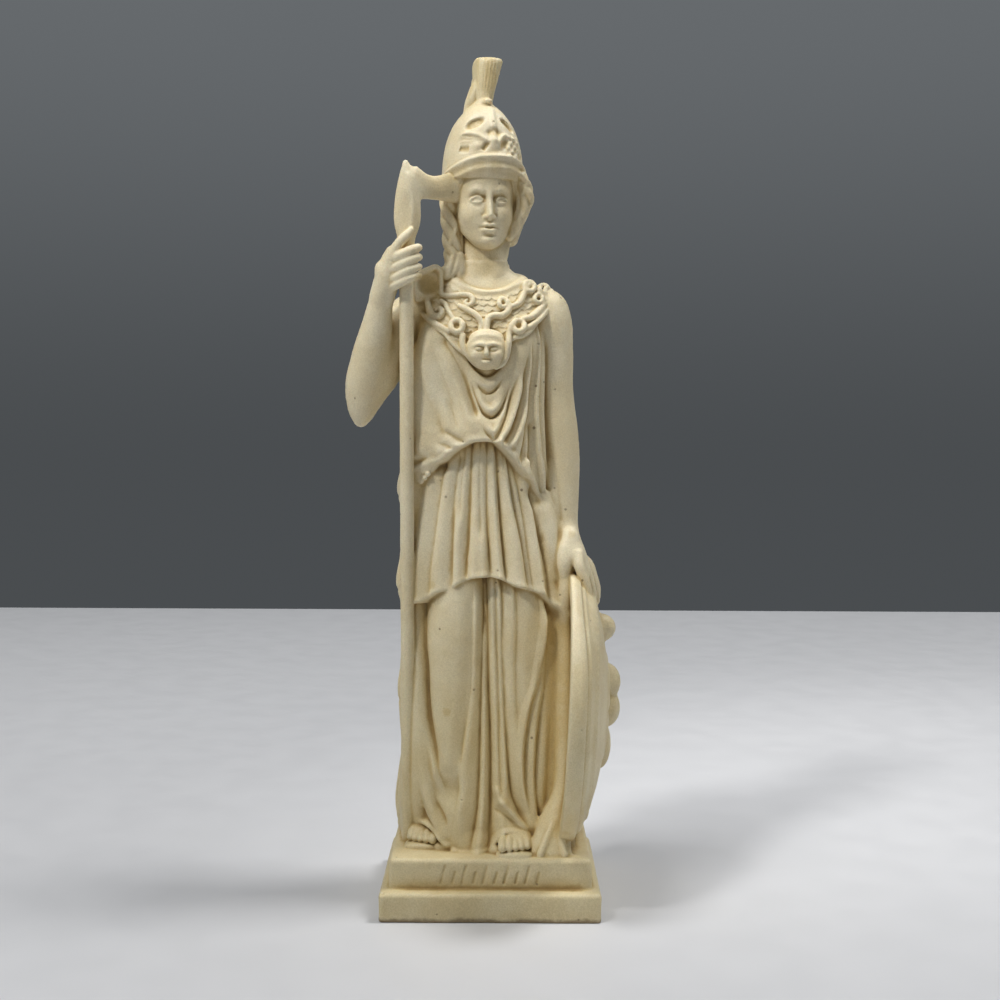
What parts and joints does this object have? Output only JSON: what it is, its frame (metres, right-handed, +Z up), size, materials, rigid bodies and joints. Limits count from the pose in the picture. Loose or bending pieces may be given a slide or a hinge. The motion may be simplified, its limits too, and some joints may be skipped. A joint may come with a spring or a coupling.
{
  "type": "athena statue",
  "caption": "Small cast souvenir statuette of Athena in helmet and long dress, with spear and round shield, in one with its stepped plinth.",
  "frame": {"origin": "middle of the plinth's underside, on the surface that the statuette stands on", "axes": "+Z up through the figure, which looks along -Y; +X is the side with the shield, so it is to the right of a viewer who faces the figure"},
  "size_m": [0.078, 0.0788, 0.24],
  "materials": {
    "cast_stone": "cream cast alabaster, satin, warm brown patina in the recesses"
  },
  "bodies": {
    "root": {"athena_statue": "cast_stone"}
  },
  "joints": []
}
